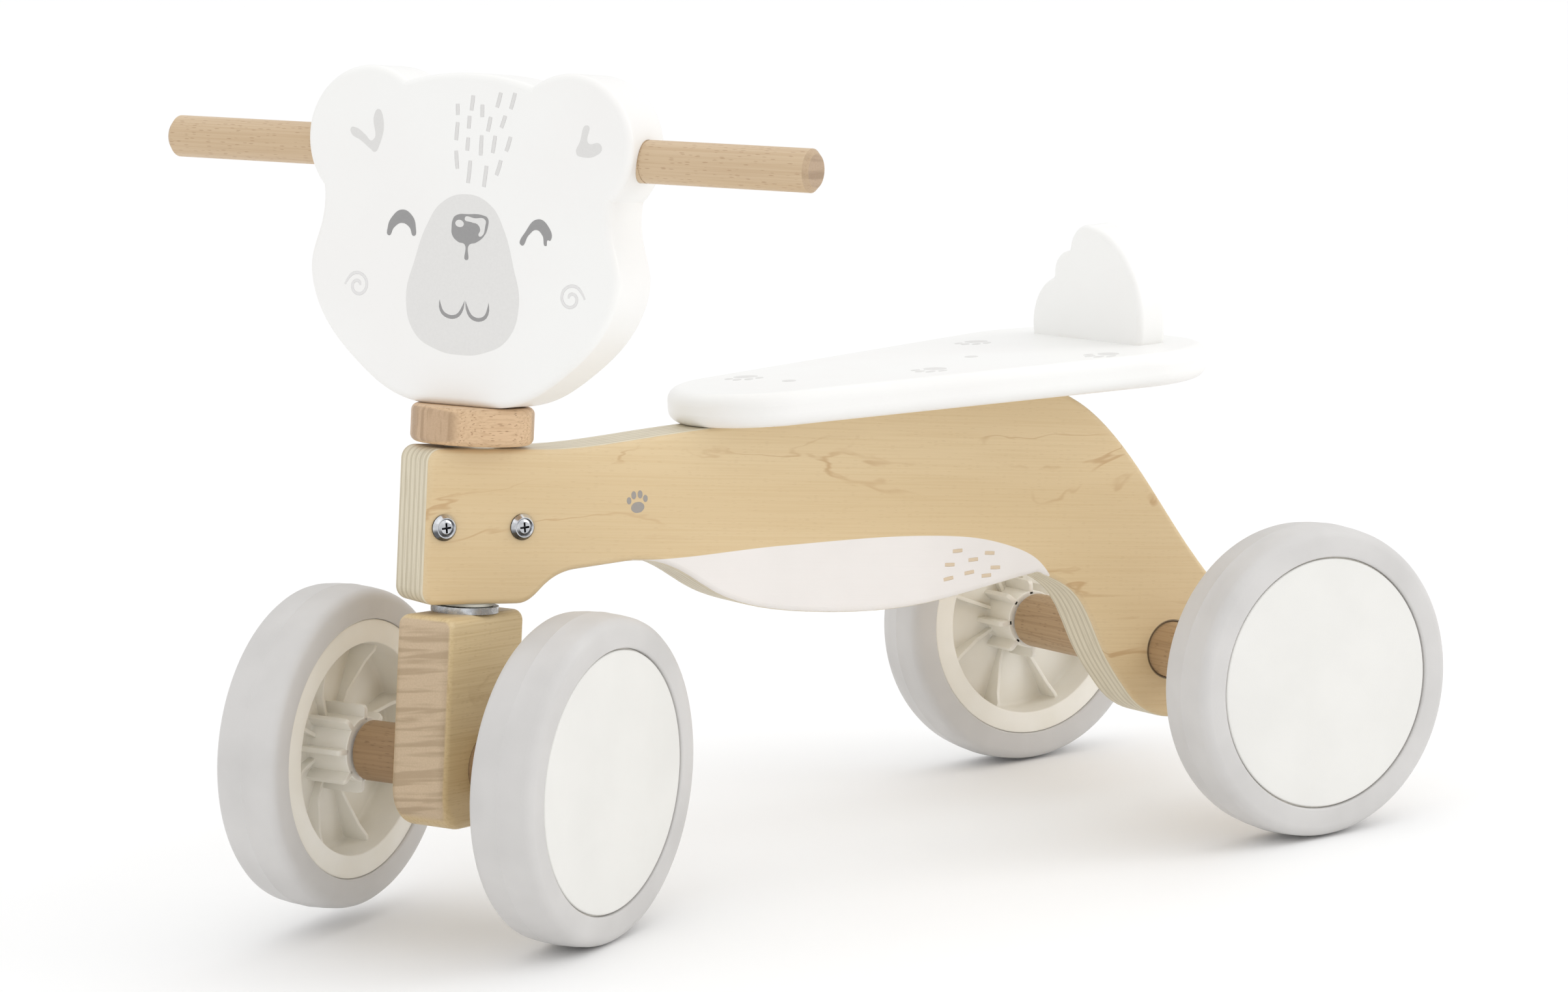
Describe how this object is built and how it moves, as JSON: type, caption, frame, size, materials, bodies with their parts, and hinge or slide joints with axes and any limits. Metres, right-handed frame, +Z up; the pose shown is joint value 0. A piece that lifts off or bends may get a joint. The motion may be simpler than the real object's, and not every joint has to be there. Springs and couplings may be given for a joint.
{
  "type": "balance bike",
  "caption": "Low wooden ride-on bike with a plywood body, white seat, animal-head handlebar board, steering fork block and soft-tyred wheels.",
  "frame": {"origin": "on the floor under the middle of the bike, at the bottom centre of its bounding box with the front turned to the left", "axes": "-Y is the way the bike faces, +X the rider's left, +Z up"},
  "size_m": [0.2798, 0.5337, 0.3684],
  "materials": {
    "plywood": "clear satin varnish over birch plywood",
    "white_paint": "smooth white satin paint on wood",
    "beech": "clear satin varnish",
    "axle_wood": "clear satin varnish, darker wood",
    "block_wood": "clear satin varnish",
    "zinc_steel": "bright zinc plated",
    "nylon": "natural nylon",
    "white_plastic": "moulded satin",
    "cap_plastic": "semi-gloss",
    "soft_tyre": "matt light grey soft rubber"
  },
  "bodies": {
    "frame": {"frame_plank": "plywood", "seat_board": "white_paint", "tail_board": "white_paint", "seat_dowels": "beech", "tail_dowels": "beech", "clamp_bolts": "zinc_steel", "clamp_sleeve_nuts": "zinc_steel", "upper_steering_bush": "nylon", "lower_steering_bush": "nylon", "rear_axle_beam": "axle_wood", "rear_axle_rod": "zinc_steel", "rear_beam_screw": "zinc_steel", "rear_axle_washers": "zinc_steel", "rear_push_nuts": "zinc_steel"},
    "steering": {"head_board": "white_paint", "handlebar": "beech", "handlebar_screw": "zinc_steel", "steering_collar": "beech", "steering_stud": "zinc_steel", "head_barrel_nut": "zinc_steel", "fork_barrel_nut": "zinc_steel", "thrust_washer": "zinc_steel", "fork_block": "block_wood", "front_axle_beam": "axle_wood", "front_axle_rod": "zinc_steel", "front_beam_screw": "zinc_steel", "front_axle_washers": "zinc_steel", "front_push_nuts": "zinc_steel"},
    "front_left_wheel": {"front_left_tyre": "soft_tyre", "front_left_rim": "white_plastic", "front_left_cap": "cap_plastic", "front_left_bush": "nylon"},
    "front_right_wheel": {"front_right_tyre": "soft_tyre", "front_right_rim": "white_plastic", "front_right_cap": "cap_plastic", "front_right_bush": "nylon"},
    "rear_left_wheel": {"rear_left_tyre": "soft_tyre", "rear_left_rim": "white_plastic", "rear_left_cap": "cap_plastic", "rear_left_bush": "nylon"},
    "rear_right_wheel": {"rear_right_tyre": "soft_tyre", "rear_right_rim": "white_plastic", "rear_right_cap": "cap_plastic", "rear_right_bush": "nylon"}
  },
  "joints": [
    {"name": "steering_turn", "type": "hinge", "parent": "frame", "child": "steering", "pos_m": [0, -0.17013, 0.07377], "axis": [0, 0.1219, 0.9925], "range_deg": [-75, 15]},
    {"name": "front_left_wheel_spin", "type": "hinge", "parent": "steering", "child": "front_left_wheel", "pos_m": [0.05413, -0.13912, 0.06996], "axis": [0.866, 0.4963, -0.0609], "continuous": true},
    {"name": "front_right_wheel_spin", "type": "hinge", "parent": "steering", "child": "front_right_wheel", "pos_m": [-0.05413, -0.20115, 0.07758], "axis": [0.866, 0.4963, -0.0609], "continuous": true},
    {"name": "rear_left_wheel_spin", "type": "hinge", "parent": "frame", "child": "rear_left_wheel", "pos_m": [0.1135, 0.19687, 0.07], "axis": [1, 0, 0], "continuous": true},
    {"name": "rear_right_wheel_spin", "type": "hinge", "parent": "frame", "child": "rear_right_wheel", "pos_m": [-0.1135, 0.19687, 0.07], "axis": [1, 0, 0], "continuous": true}
  ]
}
